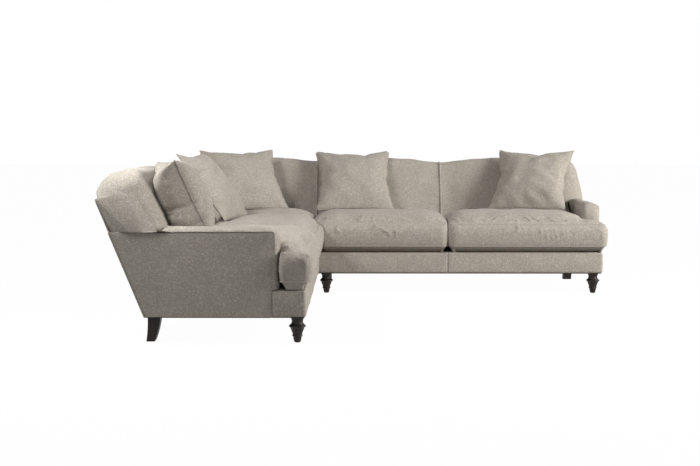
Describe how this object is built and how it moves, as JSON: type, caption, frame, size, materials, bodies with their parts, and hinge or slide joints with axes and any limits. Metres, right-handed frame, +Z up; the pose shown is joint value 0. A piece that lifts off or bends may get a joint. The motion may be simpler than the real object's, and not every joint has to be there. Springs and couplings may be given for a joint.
{
  "type": "corner sofa",
  "caption": "Corner sofa with rolled tight backs, slim arms, loose T-shaped seat cushions, scatter cushions, turned front legs and curved back legs.",
  "frame": {"origin": "on the floor under the middle of the sofa's box", "axes": "+Z up, +X along the back wing away from the corner, +Y towards the outside back of that wing; the other wing comes forward along -Y from the corner at -X +Y"},
  "size_m": [2.835, 2.835, 0.8963],
  "materials": {
    "seat_fabric": "warm grey woven linen, matt",
    "scatter_fabric": "warm grey woven linen, matt",
    "pad_fabric": "warm grey woven linen, matt",
    "panel_fabric": "warm grey woven linen, matt",
    "dust_cloth": "black spun cloth",
    "webbing": "jute webbing",
    "platform_cloth": "padded platform cloth",
    "dark_wood": "dark walnut stain, satin",
    "frame_timber": "bare hardwood",
    "zinc_steel": "zinc plated"
  },
  "bodies": {
    "sofa_frame": {"corner_back_posts": "frame_timber", "corner_back_top_rails": "frame_timber", "corner_dust_cover": "dust_cloth", "corner_inner_rails": "frame_timber", "corner_outer_rails": "frame_timber", "corner_rear_back_pad": "pad_fabric", "corner_rear_outside_back": "panel_fabric", "corner_sabre_legs": "dark_wood", "corner_seat_platform": "platform_cloth", "corner_side_back_pad": "pad_fabric", "corner_side_outside_back": "panel_fabric", "corner_turned_leg": "dark_wood", "corner_webbing": "webbing", "frame_corner_blocks": "frame_timber", "left_arm_frame": "frame_timber", "left_arm_outer_panel": "panel_fabric", "left_arm_pad": "pad_fabric", "left_back_pad": "pad_fabric", "left_back_posts": "frame_timber", "left_back_top_rail": "frame_timber", "left_cross_rails": "frame_timber", "left_dust_cover": "dust_cloth", "left_front_border": "panel_fabric", "left_front_rail": "frame_timber", "left_outside_back": "panel_fabric", "left_rear_rail": "frame_timber", "left_sabre_legs": "dark_wood", "left_seat_platform": "platform_cloth", "left_turned_legs": "dark_wood", "left_webbing": "webbing", "leg_hanger_bolts": "zinc_steel", "right_arm_frame": "frame_timber", "right_arm_outer_panel": "panel_fabric", "right_arm_pad": "pad_fabric", "right_back_pad": "pad_fabric", "right_back_posts": "frame_timber", "right_back_top_rail": "frame_timber", "right_cross_rails": "frame_timber", "right_dust_cover": "dust_cloth", "right_front_border": "panel_fabric", "right_front_rail": "frame_timber", "right_outside_back": "panel_fabric", "right_rear_rail": "frame_timber", "right_sabre_legs": "dark_wood", "right_seat_platform": "platform_cloth", "right_turned_legs": "dark_wood", "right_webbing": "webbing", "unit_coupling_bolts": "zinc_steel"},
    "left_end_seat": {"left_end_seat_cushion": "seat_fabric"},
    "left_end_scatter": {"left_end_scatter_cushion": "scatter_fabric"},
    "left_mid_seat": {"left_mid_seat_cushion": "seat_fabric"},
    "left_mid_scatter": {"left_mid_scatter_cushion": "scatter_fabric"},
    "corner_seat": {"corner_seat_cushion": "seat_fabric"},
    "corner_scatter": {"corner_scatter_cushion": "scatter_fabric"},
    "right_mid_seat": {"right_mid_seat_cushion": "seat_fabric"},
    "right_mid_scatter": {"right_mid_scatter_cushion": "scatter_fabric"},
    "right_end_seat": {"right_end_seat_cushion": "seat_fabric"},
    "right_end_scatter": {"right_end_scatter_cushion": "scatter_fabric"}
  },
  "joints": [
    {"name": "left_end_seat_lift", "type": "slide", "parent": "sofa_frame", "child": "left_end_seat", "axis": [0, 0, 1], "range_m": [0, 0.6]},
    {"name": "left_end_scatter_lift", "type": "slide", "parent": "left_end_seat", "child": "left_end_scatter", "axis": [0, 0, 1], "range_m": [0, 0.45]},
    {"name": "left_mid_seat_lift", "type": "slide", "parent": "sofa_frame", "child": "left_mid_seat", "axis": [0, 0, 1], "range_m": [0, 0.6]},
    {"name": "left_mid_scatter_lift", "type": "slide", "parent": "left_mid_seat", "child": "left_mid_scatter", "axis": [0, 0, 1], "range_m": [0, 0.45]},
    {"name": "corner_seat_lift", "type": "slide", "parent": "sofa_frame", "child": "corner_seat", "axis": [0, 0, 1], "range_m": [0, 0.6]},
    {"name": "corner_scatter_lift", "type": "slide", "parent": "corner_seat", "child": "corner_scatter", "axis": [0, 0, 1], "range_m": [0, 0.45]},
    {"name": "right_mid_seat_lift", "type": "slide", "parent": "sofa_frame", "child": "right_mid_seat", "axis": [0, 0, 1], "range_m": [0, 0.6]},
    {"name": "right_mid_scatter_lift", "type": "slide", "parent": "right_mid_seat", "child": "right_mid_scatter", "axis": [0, 0, 1], "range_m": [0, 0.45]},
    {"name": "right_end_seat_lift", "type": "slide", "parent": "sofa_frame", "child": "right_end_seat", "axis": [0, 0, 1], "range_m": [0, 0.6]},
    {"name": "right_end_scatter_lift", "type": "slide", "parent": "right_end_seat", "child": "right_end_scatter", "axis": [0, 0, 1], "range_m": [0, 0.45]}
  ]
}
